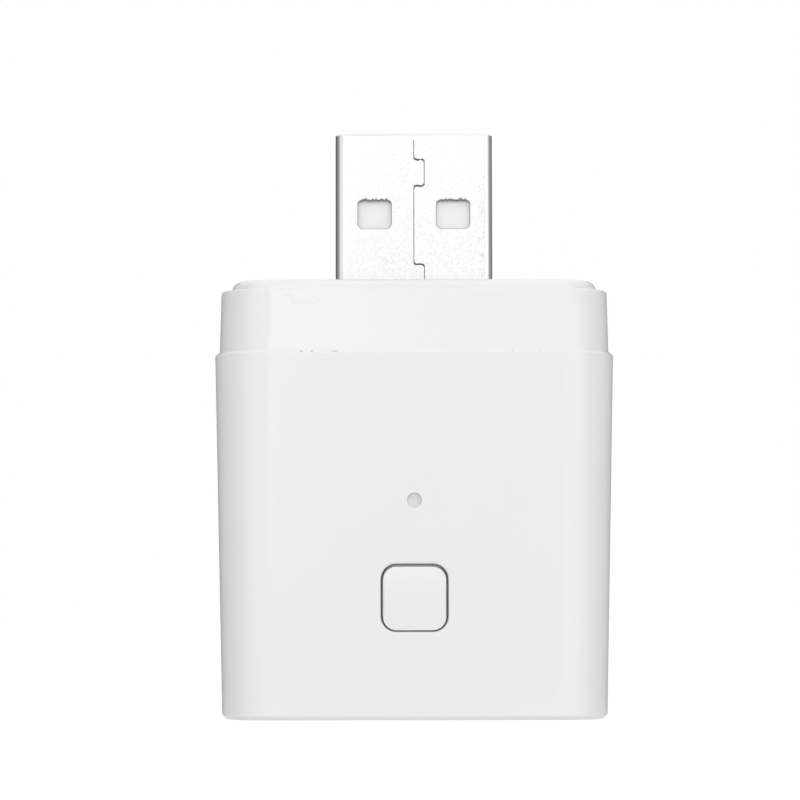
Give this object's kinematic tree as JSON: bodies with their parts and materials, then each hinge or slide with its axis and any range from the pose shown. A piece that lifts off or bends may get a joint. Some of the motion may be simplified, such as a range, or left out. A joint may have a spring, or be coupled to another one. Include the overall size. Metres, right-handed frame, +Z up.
{
  "type": "smart usb adapter",
  "caption": "Smart USB power adapter: white case with a USB-A plug on top, a USB-A socket in its base, a push button and an indicator hole on the front.",
  "frame": {"origin": "middle of the base's underside, at the middle of the whole adapter in width and depth", "axes": "+Z up through the plug, +X to the right as seen by a person who presses the button, -Y towards that person (the front, with button and indicator)"},
  "size_m": [0.03, 0.0186, 0.0445],
  "materials": {
    "case_plastic": "white moulded plastic, satin",
    "button_plastic": "white moulded plastic, satin",
    "plug_metal": "nickel-plated steel, matte and finely pitted",
    "socket_metal": "nickel-plated steel",
    "insulator_plastic": "white heat-proof plastic",
    "contact_gold": "gold-plated",
    "board": "green solder mask",
    "module_board": "dark blue solder mask",
    "shield_metal": "tinned steel",
    "chip_plastic": "black moulded plastic",
    "crystal_metal": "satin metal",
    "capacitor": "brown ceramic with tinned ends",
    "light_guide": "clear plastic, slightly cloudy",
    "lamp": "milky plastic",
    "switch_plastic": "black plastic",
    "switch_metal": "steel sheet"
  },
  "bodies": {
    "casing": {"lower_shell": "case_plastic", "top_cap": "case_plastic", "light_guide": "light_guide", "plug_shell": "plug_metal", "plug_insulator": "insulator_plastic", "plug_contact_1": "contact_gold", "plug_contact_2": "contact_gold", "plug_contact_3": "contact_gold", "plug_contact_4": "contact_gold", "socket_shell": "socket_metal", "socket_insulator": "insulator_plastic", "socket_contact_1": "contact_gold", "socket_contact_2": "contact_gold", "socket_contact_3": "contact_gold", "socket_contact_4": "contact_gold", "main_board": "board", "switch_base": "switch_plastic", "switch_dome": "switch_metal", "switch_cover": "switch_metal", "switch_terminals": "switch_metal", "indicator_lamp": "lamp", "module_board": "module_board", "module_shield": "shield_metal", "radio_chip": "chip_plastic", "crystal": "crystal_metal", "power_switch_chip": "chip_plastic", "voltage_regulator": "chip_plastic", "input_capacitor": "capacitor", "output_capacitor": "capacitor"},
    "button": {"button_cap": "button_plastic", "switch_plunger": "switch_plastic"}
  },
  "joints": [
    {"name": "button_press", "type": "slide", "parent": "casing", "child": "button", "axis": [0, 1, 0], "range_m": [0, 0.00025], "stiffness_N_per_m": 4000, "deforming": ["switch_dome"]}
  ]
}
